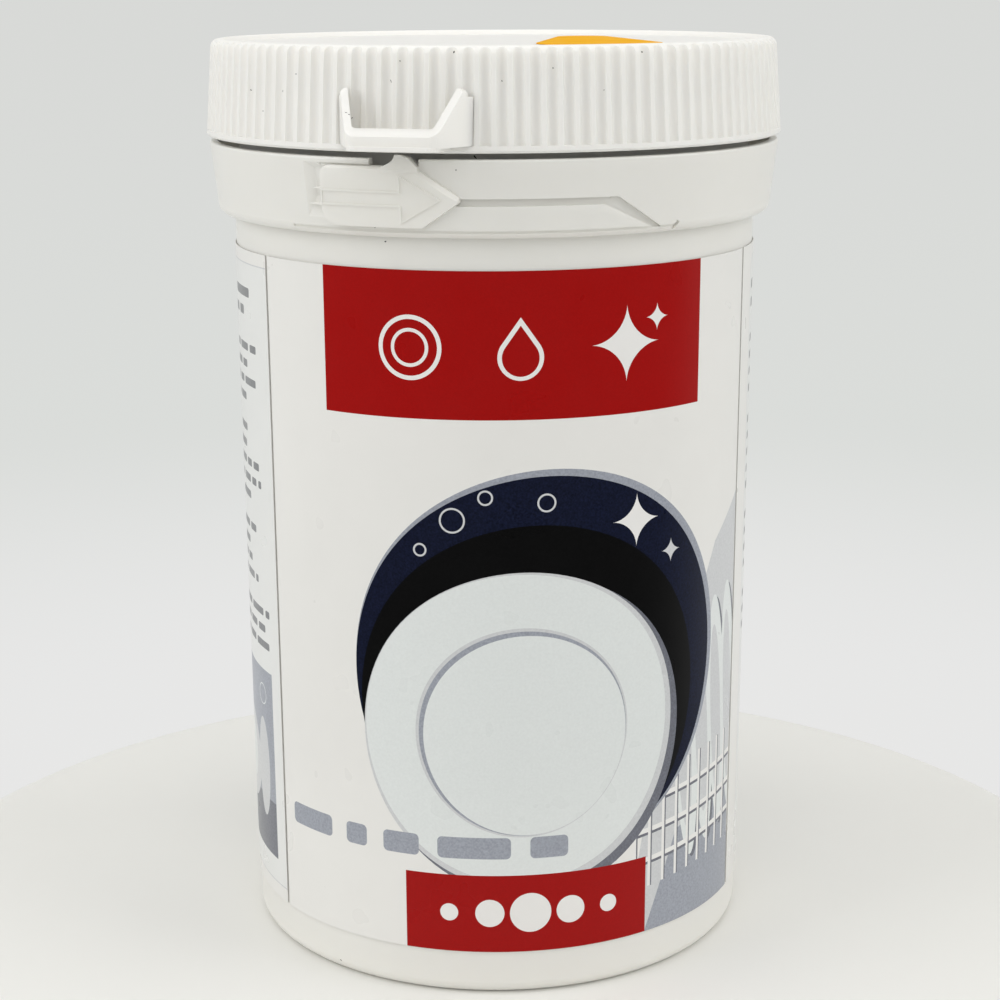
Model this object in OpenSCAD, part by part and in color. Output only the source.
// Round tub of dishwasher cleaner powder, with a ribbed screw cap and a tear-off guarantee tab.
// The tub stands on Z = 0 with its axis on Z and its front towards -Y.
// Angles round the tub are counted from the front, positive towards +X.

/* [Tub] */
// Outer radius of the wall under the collar
wall_r_top = 31.85; // [29:0.05:35]
// Outer radius of the wall at the base
wall_r_base = 31.35; // [29:0.05:34]
// Thickness of the side wall
wall_t = 1.1; // [0.8:0.05:1.5]
// Thickness of the floor
floor_t = 1.3; // [0.9:0.1:2.5]
// Height of the wall, from the table to the underside of the collar
wall_h = 90.85; // [70:0.05:120]
// Radius of the rounding round the foot
foot_round = 1.7; // [0.8:0.1:3]
// Width of the flat ring that the tub stands on
foot_ring_w = 2.4; // [1.5:0.1:5]
// Depth of the recess inside the standing ring
foot_recess = 0.8; // [0.3:0.1:1.5]
// Radius of the injection pip in the middle of the recess
pip_r = 1.6; // [1:0.1:3]
// Height of the injection pip, less than the depth of the recess
pip_h = 0.35; // [0.1:0.05:0.6]

/* [Collar] */
// How far the foot of the collar stands out from the wall
collar_over = 2.0; // [1.7:0.05:3]
// How far the collar flares outwards over its height
collar_flare = 0.8; // [0:0.05:1.2]
// Height of the collar
collar_h = 8.68; // [8:0.02:11]
// Thickness of the collar's wall
collar_t = 1.0; // [0.8:0.05:1.2]
// Outer radius of the closed bottom of the collar
collar_round = 1.3; // [0.6:0.1:1.6]
// Thickness of the web that joins the collar to the neck
web_t = 1.1; // [0.8:0.1:1.6]

/* [Tear tab] */
// Angle of the tab's free left edge
tab_left_a = -33.4; // [-36:0.1:-28]
// Angle of the corner where the tab's top edge starts to slope
tab_shoulder_a = -14.3; // [-18:0.1:-12]
// Angle of the tab's pointed right end
tab_tip_a = -6.3; // [-9:0.1:-5]
// How far the tab stands out from the collar
tab_proud = 0.7; // [0.4:0.05:1]
// Height of the tab
tab_h = 6.6; // [5.5:0.1:7]
// Height of the tab's foot over the underside of the collar
tab_foot = 1.25; // [1:0.05:1.5]
// Height of the tab's tip over the tab's foot
tab_tip_h = 3.1; // [2:0.1:3.5]
// Radius of the tab's upper left corner
tab_round = 1.2; // [0.5:0.1:2]
// Radius of the tab's lower left corner
tab_round_low = 2.0; // [0.8:0.1:2.4]
// Width of the bevel along the tab's upper edges
tab_bevel = 0.45; // [0.2:0.05:0.6]
// Angle between the tab and the far side of the fingernail recess
nail_a = 4.1; // [3:0.1:6]
// Depth of the fingernail recess
nail_d = 0.45; // [0.3:0.05:0.6]
// Width of the slope on the left side of that recess
nail_slope_w = 1.4; // [0.4:0.1:2]
// Width of the raised outline of the arrow
arrow_line = 0.18; // [0.12:0.01:0.4]
// Height of the raised outline of the arrow
arrow_proud = 0.15; // [0.1:0.05:0.3]
// Height of the tear groove
groove_w = 0.82; // [0.5:0.02:1.2]
// Depth of the tear groove
groove_d = 0.5; // [0.3:0.05:0.7]
// Angle where the tear groove turns down
groove_turn_a = 22; // [15:0.5:26]
// Angle where the tear groove leaves the collar
groove_end_a = 31.8; // [29:0.1:35]
// Depth of the thin line under the strip that tears away
tear_line_d = 0.2; // [0.1:0.05:0.5]
// Angle where that thin line starts
line_left_a = -42; // [-50:0.5:-36]
// Angle of the notch where it ends
notch_a = 36.8; // [35.5:0.1:40]
// Angle of the tip of the post that stands on the tab
post_tip_a = -17.3; // [-19:0.1:-16]
// Width of the post's tip
post_tip_w = 0.65; // [0.4:0.05:1]
// Angle from the tip to the left end of the post's foot
post_left_a = 3.2; // [2:0.1:4]
// Angle from the tip to the right end of the post's foot
post_right_a = 3.7; // [2:0.1:4.5]
// Gap between the post's tip and the foot of the cap
post_gap = 0.2; // [0.1:0.05:0.3]
// Angle of the gap in the collar's top edge on the left of the post
slot_a = 2.7; // [1:0.1:4]

/* [Neck and thread] */
// How far the neck steps in from the wall
neck_inset = 0.65; // [0.5:0.05:1]
// Thickness of the neck
neck_t = 1.2; // [1:0.05:1.5]
// Number of thread starts
thread_starts = 3; // [2:1:4]
// Rise of the thread over one turn
thread_lead = 9; // [7:0.5:10]
// Angle that each thread runs round
thread_arc = 128; // [90:2:140]
// Depth of each thread
thread_d = 1.15; // [0.8:0.05:1.2]
// Width of each thread at its foot
thread_foot_w = 1.6; // [1.2:0.1:1.8]
// Width of each thread at its crest
thread_crest_w = 0.7; // [0.5:0.05:0.9]
// Height of the neck's threads over the foot of the cap, where they start
thread_start_h = 3.3; // [3.2:0.1:3.6]
// Clearance between the two threads' flanks in the closed cap
thread_play = 0.22; // [0.15:0.01:0.3]

/* [Cap] */
// Gap between the collar and the cap
cap_gap = 0.67; // [0.5:0.01:1]
// Height of the cap
cap_h = 11.3; // [10.8:0.1:14]
// How far the cap's foot stands out past the collar
cap_step = 0.3; // [0:0.05:0.6]
// How far the cap's side leans in over its height
cap_draft = 0.8; // [0.4:0.05:1.2]
// Thickness of the cap's side, ribs left out
cap_t = 1.5; // [1.2:0.05:1.7]
// Thickness of the cap's top
cap_top_t = 1.2; // [0.9:0.1:1.8]
// Height of the rim round the top over the sunk middle
rim_h = 0.6; // [0.3:0.05:1]
// Width of the rim round the top
rim_w = 1.5; // [1.2:0.1:2.2]
// Radius of the rounding on top of the cap
rim_round = 1.0; // [0.3:0.05:1.1]
// Number of ribs
rib_count = 120; // [60:4:140]
// Radius of the hollow of each groove between two ribs
rib_gap_r = 0.7; // [0.5:0.05:0.9]
// Depth of that groove
rib_d = 0.42; // [0.25:0.01:0.5]
// Height of the plain band under the ribs
band_h = 0.8; // [0.5:0.05:1.5]

/* [Catch] */
// Angle of the middle of the catch
catch_a = -16.3; // [-20:0.1:-12]
// Width of the catch at the cap's side
catch_w_wall = 15.2; // [12:0.1:18]
// Width of the catch's front, its rounded corners taken as sharp
catch_w_front = 10.1; // [8:0.1:11]
// Radius of the catch's front corners
catch_round = 1.4; // [0.9:0.1:2]
// Radius on top of the catch's cheeks
cheek_round = 0.9; // [0.3:0.1:1.5]
// How far the catch stands out from the cap's side
catch_out = 4.2; // [3.5:0.1:5]
// Height of the catch's cheeks over the foot of the ribs
catch_h_wall = 6.1; // [5.5:0.1:8]
// Height of the catch's front over the foot of the ribs
catch_h_front = 1.2; // [1:0.05:2]
// Thickness of the catch's walls
catch_t = 0.8; // [0.6:0.05:1]
// Thickness of the catch's floor over the foot of the ribs
catch_floor = 0.4; // [0.3:0.05:0.7]
// Height of the plate under the catch over the foot of the cap
catch_lift = 0.45; // [0.35:0.05:0.7]
// Width of that plate
plate_w = 10.6; // [8:0.1:12]
// How far that plate stands out past the catch's front
plate_out = 0.25; // [0.1:0.05:0.4]

/* [Seal] */
// Thickness of the foam disc inside the cap, as pressed on the neck
seal_t = 0.8; // [0.5:0.05:1.2]
// Gap between the rim of the foam disc and the cap's side
seal_play = 0.4; // [0.2:0.05:0.8]

/* [Labels] */
// Thickness of the two labels on the tub
label_t = 0.12; // [0.08:0.01:0.2]
// Thickness of the glue between the labels and the wall
label_glue = 0.05; // [0.03:0.01:0.08]
// Height of the labels' lower edge over the table
label_z = 5.7; // [4:0.1:12]
// Height of the labels
label_h = 81.5; // [60:0.1:83]
// Angle of the front label's left edge
front_left_a = -55.8; // [-70:0.1:-50]
// Angle of the front label's right edge
front_right_a = 67.0; // [60:0.1:75]
// Angle left bare between the two labels at each side
label_seam_a = 0.9; // [0.5:0.1:3]
// Thickness of the sticker on the cap
sticker_t = 0.1; // [0.06:0.01:0.2]
// Sideways place of the sticker on the cap
sticker_x = 12.4; // [8:0.1:16]
// Place of the middle of the sticker's wide end
sticker_y = -10; // [-16:0.5:0]
// Radius of the sticker's wide end
sticker_r_wide = 7.4; // [5:0.1:9]
// Radius of the sticker's narrow end
sticker_r_narrow = 3.2; // [2:0.1:5]
// Distance between the middles of the sticker's two ends
sticker_l = 26; // [20:0.5:30]
// Turn of the sticker on the cap
sticker_turn = 2; // [-10:1:10]

/* [Powder] */
// Depth of the powder at the wall
powder_h = 56; // [20:1:85]
// Extra height of the powder's heap in the middle
powder_heap = 3; // [0:0.5:6]
// Gap that keeps the powder off the wall
powder_play = 0.1; // [0.05:0.05:0.3]

/* [Hidden] */
$fn = 180;
over = 1;
sink = 0.3;

collar_top = wall_h + collar_h;
collar_r_low = wall_r_top + collar_over;
collar_r_top = collar_r_low + collar_flare;
collar_low_z = wall_h + collar_round;
web_top = wall_h + web_t;
neck_r = wall_r_top - neck_inset;
neck_in_r = neck_r - neck_t;

cap_z = collar_top + cap_gap;
cap_top = cap_z + cap_h;
cap_r = collar_r_top + cap_step;
cap_r_top = cap_r - cap_draft;
cap_plate_z = cap_top - rim_h;
cap_under = cap_plate_z - cap_top_t;
cap_in_r = cap_r - rib_d - cap_t;
cap_in_r_top = cap_r_top - rib_d - cap_t + 0.4;
lip_z = cap_under - seal_t;
rib_z = cap_z + band_h;
lean = atan(cap_draft / cap_h);

thread_pitch = thread_lead / thread_starts;
thread_z = cap_z + thread_start_h;
cap_thread_crest_r = neck_r + 0.45;
// Width of a thread where the other thread's crest reaches it
shared_w = thread_foot_w - (thread_foot_w - thread_crest_w) * 0.7;
cap_thread_drop = shared_w + thread_play;

tab_z = wall_h + tab_foot;
tab_top = tab_z + tab_h;
tab_mid_a = (tab_left_a + tab_tip_a) / 2;
groove_z = tab_z + tab_tip_h - groove_w / 2 + 0.08;
tear_line_z = wall_h + 0.75;
collar_lean = atan(collar_flare / (collar_top - collar_low_z));

plate_z = cap_z + catch_lift;
catch_r = cap_r + catch_out;
catch_top = rib_z + catch_h_wall;
catch_root_r = cap_in_r + cap_t * 0.5;

// Outer radius of the tub's wall at a height
function wall_r(z) = wall_r_base + (wall_r_top - wall_r_base) * z / wall_h;

// Outer radius of the collar at a height
function collar_r(z) = collar_r_low + collar_flare * (z - collar_low_z) / (collar_top - collar_low_z);

// Points of an arc, from one angle to the other
function arc(c, r, a0, a1, n = 12) =
    [for (i = [0 : n]) let (a = a0 + (a1 - a0) * i / n) [c[0] + r * cos(a), c[1] + r * sin(a)]];

// Sideways place, in a view square on to the tab, of an angle round the collar
function across(a) = collar_r(tab_z + tab_h / 2) * sin(a - tab_mid_a);

// Turns something that faces -Y to an angle round the tub
module facing(a) {
    rotate([0, 0, a]) children();
}

// Revolves a profile through part of a turn, between two angles counted from the front
module swept(a0, a1) {
    rotate([0, 0, a0 - 90]) rotate_extrude(angle = a1 - a0) children();
}

// Pushes an outline, drawn as seen from the front, through the wall that faces -Y
module through(r0, r1) {
    translate([0, -r0, 0]) rotate([90, 0, 0]) linear_extrude(r1 - r0) children();
}

// Ring that follows the collar's outer face, from a depth inside it to a height outside it
module collar_skin(inside, outside) {
    z0 = wall_h - over;
    z1 = collar_top + over;
    rotate_extrude() polygon([
        [collar_r(z0) - inside, z0],
        [collar_r(z0) + outside, z0],
        [collar_r(z1) + outside, z1],
        [collar_r(z1) - inside, z1]
    ]);
}

// One thread of trapezoid section that runs into its wall at both ends; depth is negative on an inner wall
module thread(root_r, depth, z0, steps = 26) {
    runout = 0.14;
    side = sign(depth);
    root = root_r - side * sink;
    section = [
        for (i = [0 : steps])
            let (
                t = i / steps,
                a = thread_arc * t,
                grow = min(1, t / runout, (1 - t) / runout),
                crest = root_r + depth * grow - side * sink * 0.5 * (1 - grow),
                z = z0 + thread_lead * a / 360
            )
            for (p = [
                [root, z - thread_foot_w / 2],
                [crest, z - thread_crest_w / 2],
                [crest, z + thread_crest_w / 2],
                [root, z + thread_foot_w / 2]
            ])
            [p[0] * cos(a), p[0] * sin(a), p[1]]
    ];
    last = 4 * steps;
    sides = [
        for (i = [0 : steps - 1], j = [0 : 3])
            let (a = 4 * i + j, b = 4 * i + (j + 1) % 4)
            for (f = [[a, b, b + 4], [a, b + 4, a + 4]])
            side > 0 ? f : [f[0], f[2], f[1]]
    ];
    ends = side > 0
        ? [[2, 1, 0], [3, 2, 0], [last, last + 1, last + 2], [last, last + 2, last + 3]]
        : [[0, 1, 2], [0, 2, 3], [last + 2, last + 1, last], [last + 3, last + 2, last]];
    polyhedron(section, concat(sides, ends), convexity = 6);
}

// All the starts of a thread
module threads(root_r, depth, z0) {
    for (i = [0 : thread_starts - 1])
        rotate([0, 0, 360 * i / thread_starts]) thread(root_r, depth, z0);
}

// Section of the tub with its collar and neck, as one moulding
module tub_section() {
    foot_in = wall_r_base - foot_round - foot_ring_w;
    in_top = wall_r_top - wall_t;
    in_base = wall_r_base - wall_t;
    trough_in = collar_r(web_top) - collar_t;
    polygon(concat(
        [[0, foot_recess], [foot_in - foot_recess, foot_recess], [foot_in, 0]],
        arc([wall_r_base - foot_round, foot_round], foot_round, -90, 0),
        [[wall_r_top, wall_h]],
        arc([collar_r_low - collar_round, collar_low_z], collar_round, -90, 0),
        arc([collar_r_top - 0.25, collar_top - 0.25], 0.25, 0, 90, 4),
        [[collar_r_top - collar_t, collar_top], [trough_in, web_top + 0.4], [trough_in - 0.4, web_top]],
        [[neck_r, web_top]],
        arc([neck_r - 0.35, lip_z - 0.35], 0.35, 0, 90, 6),
        arc([neck_in_r + 0.35, lip_z - 0.35], 0.35, 90, 180, 6),
        [[neck_in_r, web_top + 1], [in_top, wall_h - 1.2]],
        arc([in_base - 1, foot_recess + floor_t + 1], 1, 0, -90, 6),
        [[0, foot_recess + floor_t]]
    ));
}

// Outline of the tear tab, seen square on
module tab_outline() {
    left = across(tab_left_a);
    tip = across(tab_tip_a);
    polygon(concat(
        arc([left + tab_round, tab_top - tab_round], tab_round, 180, 90, 6),
        [
            [across(tab_shoulder_a), tab_top],
            [tip, tab_z + tab_tip_h + 0.3],
            [tip, tab_z + tab_tip_h - 0.3],
            [across(tab_shoulder_a + 1.2), tab_z],
        ],
        arc([left + tab_round_low, tab_z + tab_round_low], tab_round_low, 270, 180, 8)
    ));
}

// Section of the wedge that bevels an edge: depth along X, width along Y, with the edge at the origin
module bevel_wedge(depth, width, over_by = 1.5) {
    polygon([
        [-depth * over_by, -width * (1 + over_by)],
        [depth * (1 + over_by), width * over_by],
        [-depth * over_by, width * over_by]
    ]);
}

// Bevels along the level top edge of the tab and along the slope down to its tip
module tab_bevels() {
    top_r = collar_r(tab_top) + tab_proud;
    swept(tab_left_a - 2, tab_shoulder_a + 1)
        translate([top_r, tab_top]) mirror([1, 0]) bevel_wedge(tab_bevel * 0.7, tab_bevel * 0.7);
    mid_a = (tab_shoulder_a + tab_tip_a) / 2;
    mid_z = (tab_top + tab_z + tab_tip_h + 0.3) / 2;
    run = collar_r(mid_z) * 2 * sin(tab_tip_a - mid_a);
    drop = tab_h - tab_tip_h - 0.3;
    facing(mid_a) translate([0, -collar_r(mid_z) - tab_proud, mid_z]) rotate([collar_lean, 0, 0])
        rotate([0, atan(drop / run), 0]) rotate([90, 0, 90])
        linear_extrude(norm([run, drop]) + 2, center = true) bevel_wedge(tab_bevel, tab_bevel * 1.3);
}

// Outline of the arrow that is raised on the tear tab
module arrow_outline() {
    y = tab_z + tab_tip_h;
    shaft = tab_h * 0.13;
    head = tab_h * 0.41;
    neck_x = across(-17.2);
    polygon([
        [across(tab_left_a), y - shaft],
        [neck_x, y - shaft],
        [neck_x, y - head],
        [across(-9.2), y],
        [neck_x, y + head],
        [neck_x, y + shaft],
        [across(tab_left_a), y + shaft]
    ]);
}

// Post on the tab under the foot of the cap, with a hollow left side
module post() {
    top = cap_z - post_gap;
    left = collar_r_top * sin(post_left_a);
    right = collar_r_top * sin(post_right_a);
    half = post_tip_w / 2;
    root_z = tab_top - 0.6;
    hollow = [
        for (i = [0 : 6]) let (t = i / 6)
            [-half - (left - half) * pow(t, 2.2), top - (top - tab_top) * t]
    ];
    facing(post_tip_a) through(collar_r_top - 0.7, collar_r_top + tab_proud - 0.15) polygon(concat(
        [[-left, root_z], [right, root_z], [right, tab_top], [right * 0.55, top - 0.3], [half, top]],
        hollow
    ));
}

// The plate of the tear tab with its arrow, two thin bridges and its post
module tear_tab() {
    difference() {
        intersection() {
            collar_skin(0.4, tab_proud);
            facing(tab_mid_a) through(collar_r_low - 4, cap_r + 4) tab_outline();
        }
        tab_bevels();
    }
    intersection() {
        collar_skin(0.4, tab_proud + arrow_proud);
        facing(tab_mid_a) through(collar_r_low - 4, cap_r + 4) difference() {
            arrow_outline();
            offset(delta = -arrow_line) arrow_outline();
        }
    }
    for (h = [0.34, 0.61])
        intersection() {
            collar_skin(nail_d + 0.1, tab_proud - 0.1);
            facing(tab_mid_a) through(collar_r_low - 4, cap_r + 4) polygon([
                [across(tab_left_a) + 0.4, tab_z + tab_h * h - 0.2],
                [across(tab_left_a) + 0.4, tab_z + tab_h * h + 0.2],
                [across(tab_left_a - nail_a * (1.1 - h)), tab_z + tab_h * h]
            ]);
        }
    post();
}

// What is cut into the collar round the tear tab
module collar_cuts() {
    // Fingernail recess on the left of the tab, fading out downwards and to the left
    nail_z = tab_z + tab_h / 2;
    intersection() {
        swept(tab_left_a - nail_a - 1, tab_left_a + 3) polygon([
            [collar_r(tab_z) + 0.1, tab_z + 0.4],
            [collar_r(tab_z + 3) - nail_d, tab_z + 3],
            [collar_r(tab_top - 0.5) - nail_d, tab_top - 0.5],
            [collar_r(tab_top + 0.2), tab_top + 0.2],
            [cap_r + over, tab_top + 0.2],
            [cap_r + over, tab_z + 0.4]
        ]);
        facing(tab_left_a - nail_a) translate([0, -collar_r(nail_z), nail_z]) rotate([collar_lean, 0, 0])
            linear_extrude(tab_h + 2 * over, center = true) polygon([
                [-nail_slope_w, -nail_d - 0.1],
                [nail_slope_w, nail_d + 0.1],
                [tab_h, nail_d + over],
                [tab_h, -cap_r / 8],
                [-nail_slope_w, -cap_r / 8]
            ]);
    }
    // Gap in the collar's top edge beside the post
    swept(post_tip_a - post_left_a - slot_a, post_tip_a + post_right_a)
        translate([collar_r_top - collar_t - over, tab_top + 0.05]) square([collar_t + 2 * over, over * 3]);
    // Shallow line over the tab's top edge
    swept(tab_left_a - 0.5, tab_shoulder_a)
        translate([collar_r(tab_top) - 0.25, tab_top - 0.1]) square([over * 2, 0.3]);
    // Tear groove, level at first
    swept(tab_tip_a - 0.6, groove_turn_a)
        translate([collar_r(groove_z) - groove_d, groove_z - groove_w / 2]) square([over * 2, groove_w]);
    // Tear groove, sloping down to the collar's foot
    intersection() {
        collar_skin(groove_d, over);
        facing(groove_turn_a) through(collar_r_low - 4, cap_r + 2) polygon([
            [-0.7, groove_z - groove_w / 2],
            [-0.7, groove_z + groove_w / 2],
            [0.9, groove_z + groove_w / 2],
            [collar_r_low * sin(groove_end_a - groove_turn_a) + 0.9, tear_line_z],
            [collar_r_low * sin(groove_end_a - groove_turn_a) - 0.3, tear_line_z]
        ]);
    }
    // Thin line under the strip, with its notch
    line_r = collar_r_low - collar_round + sqrt(pow(collar_round, 2) - pow(collar_low_z - tear_line_z, 2));
    swept(line_left_a, notch_a)
        translate([line_r - tear_line_d, tear_line_z - 0.15]) square([over * 2, 0.3]);
    facing(notch_a) translate([0, -line_r - 0.2, tear_line_z]) rotate([0, 35, 0])
        cube([0.45, 1.4, 1.2], center = true);
}

module tub() {
    color("white") {
        difference() {
            rotate_extrude() tub_section();
            collar_cuts();
        }
        translate([0, 0, foot_recess - pip_h]) cylinder(h = pip_h + floor_t / 2, r = pip_r);
        tear_tab();
        threads(neck_r, thread_d, thread_z);
    }
}

module powder_fill() {
    z0 = foot_recess + floor_t + powder_play;
    in_r = wall_r(z0) - wall_t - powder_play;
    in_r_top = wall_r(z0 + powder_h) - wall_t - powder_play;
    color("ghostwhite") rotate_extrude() polygon(concat(
        [[0, z0], [in_r - 1.2, z0], [in_r, z0 + 1.2]],
        [[in_r_top, z0 + powder_h - 0.8], [in_r_top - 1.5, z0 + powder_h]],
        [for (i = [1 : 7]) let (t = i / 7) [
            (in_r_top - 1.5) * (1 - t),
            z0 + powder_h + powder_heap * pow(sin(90 * t), 2)
        ]]
    ));
}

// Section of the cap before its ribs are cut
module cap_section() {
    side_top = cap_top - rim_round;
    r_side_top = cap_r - cap_draft * (side_top - cap_z) / cap_h;
    polygon(concat(
        [[0, cap_under], [cap_in_r_top - 0.6, cap_under], [cap_in_r_top, cap_under - 0.6]],
        [[cap_in_r, cap_z + 0.5], [cap_in_r + 0.3, cap_z], [cap_r - 0.25, cap_z], [cap_r, cap_z + 0.25]],
        arc([r_side_top - rim_round, side_top], rim_round, 0, 90, 8),
        [[r_side_top - rim_w, cap_top], [r_side_top - rim_w - rim_h, cap_plate_z], [0, cap_plate_z]]
    ));
}

// Round-bottomed groove between two ribs, following the lean of the cap's side
module rib_groove() {
    translate([cap_r - cap_draft * band_h / cap_h + rib_gap_r - rib_d, 0, rib_z]) rotate([0, -lean, 0])
        cylinder(h = cap_h, r = rib_gap_r);
}

// Plan of the catch with rounded front corners; grow widens it all round
module catch_plan(grow) {
    slope = atan((catch_w_wall - catch_w_front) / 2 / (catch_r - catch_root_r));
    turn = 90 - slope;
    r = max(0.3, catch_round + grow);
    front = catch_r + grow;
    side = catch_w_front / 2 + (grow - r) * tan(turn / 2);
    root = catch_w_wall / 2 + grow / cos(slope);
    polygon(concat(
        [[catch_root_r, root], [catch_root_r, -root]],
        arc([front - r, -side], r, -turn, 0, 6),
        arc([front - r, side], r, 0, turn, 6)
    ));
}

// What the rounding of a cheek's top takes away, as seen square on
function cheek_corner() =
    let (
        lost = (catch_w_wall - catch_w_front) / 2 * (cap_r - catch_root_r) / (catch_r - catch_root_r),
        y = catch_w_wall / 2 - lost,
        z = catch_top - cheek_round
    )
    concat(
        arc([y - cheek_round, z], cheek_round, 0, 90, 6),
        [[y - cheek_round, catch_top + over], [y + over, catch_top + over], [y + over, z]]
    );

// Open pocket on the cap's side, over the tear tab's post
module catch() {
    side_r = cap_r - cap_draft * 0.6;
    half = catch_w_wall / 2 + over;
    facing(catch_a - 90) {
        difference() {
            translate([0, 0, rib_z]) linear_extrude(catch_h_wall) catch_plan(0);
            translate([0, 0, rib_z + catch_floor]) linear_extrude(catch_h_wall) catch_plan(-catch_t);
            // Slope from the cheeks' top down to the front
            rotate([90, 0, 0]) linear_extrude(half * 2, center = true) polygon([
                [side_r - over, catch_top],
                [side_r + 0.5, catch_top],
                [catch_r - 1.6, rib_z + catch_h_front + 1.75],
                [catch_r - 0.6, rib_z + catch_h_front + 0.6],
                [catch_r - 0.2, rib_z + catch_h_front + 0.25],
                [catch_r, rib_z + catch_h_front],
                [catch_r + over, rib_z + catch_h_front - over * 1.5],
                [catch_r + over, catch_top + over],
                [side_r - over, catch_top + over]
            ]);
            // Rounding on the outer side of both cheeks' tops
            for (side = [-1, 1]) rotate([90, 0, 90]) linear_extrude(catch_r + over)
                polygon([for (p = cheek_corner()) [side * p[0], p[1]]]);
        }
        translate([0, 0, plate_z]) linear_extrude(rib_z + 0.15 - plate_z) polygon(concat(
            [[catch_root_r, plate_w / 2], [catch_root_r, -plate_w / 2]],
            arc([catch_r + plate_out - catch_round, catch_round - plate_w / 2], catch_round, -90, 0, 6),
            arc([catch_r + plate_out - catch_round, plate_w / 2 - catch_round], catch_round, 0, 90, 6)
        ));
    }
}

module cap() {
    color("white") {
        difference() {
            union() {
                difference() {
                    rotate_extrude() cap_section();
                    for (i = [0 : rib_count - 1]) rotate([0, 0, 360 * (i + 0.5) / rib_count]) rib_groove();
                }
                catch();
            }
            // Keeps the catch's root out of the cap's hollow
            translate([0, 0, cap_z - over]) cylinder(h = catch_top - cap_z + over, r = cap_in_r - 0.05);
        }
        threads(cap_in_r, cap_thread_crest_r - cap_in_r, thread_z - cap_thread_drop);
    }
}

module seal_disc() {
    color("gainsboro") translate([0, 0, lip_z])
        cylinder(h = seal_t, r = cap_in_r_top - 0.6 - seal_play);
}

// Label that follows the wall between two angles
module wall_label(a0, a1) {
    z0 = label_z;
    z1 = label_z + label_h;
    swept(a0, a1) polygon([
        [wall_r(z0) + label_glue, z0],
        [wall_r(z0) + label_glue + label_t, z0],
        [wall_r(z1) + label_glue + label_t, z1],
        [wall_r(z1) + label_glue, z1]
    ]);
}

module front_label() {
    color("firebrick") wall_label(front_left_a, front_right_a);
}

module back_label() {
    color("whitesmoke") wall_label(front_right_a + label_seam_a, front_left_a + 360 - label_seam_a);
}

// Drop-shaped sticker in the sunk top of the cap
module lid_sticker() {
    tangent_a = acos((sticker_r_wide - sticker_r_narrow) / sticker_l);
    color("orange") translate([sticker_x, sticker_y, cap_plate_z + 0.03]) rotate([0, 0, 90 + sticker_turn])
        linear_extrude(sticker_t) {
            circle(r = sticker_r_wide);
            translate([sticker_l, 0]) circle(r = sticker_r_narrow);
            polygon([
                [sticker_r_wide * cos(tangent_a), -sticker_r_wide * sin(tangent_a)],
                [sticker_l + sticker_r_narrow * cos(tangent_a), -sticker_r_narrow * sin(tangent_a)],
                [sticker_l + sticker_r_narrow * cos(tangent_a), sticker_r_narrow * sin(tangent_a)],
                [sticker_r_wide * cos(tangent_a), sticker_r_wide * sin(tangent_a)]
            ]);
        }
}

tub();
powder_fill();
cap();
seal_disc();
front_label();
back_label();
lid_sticker();
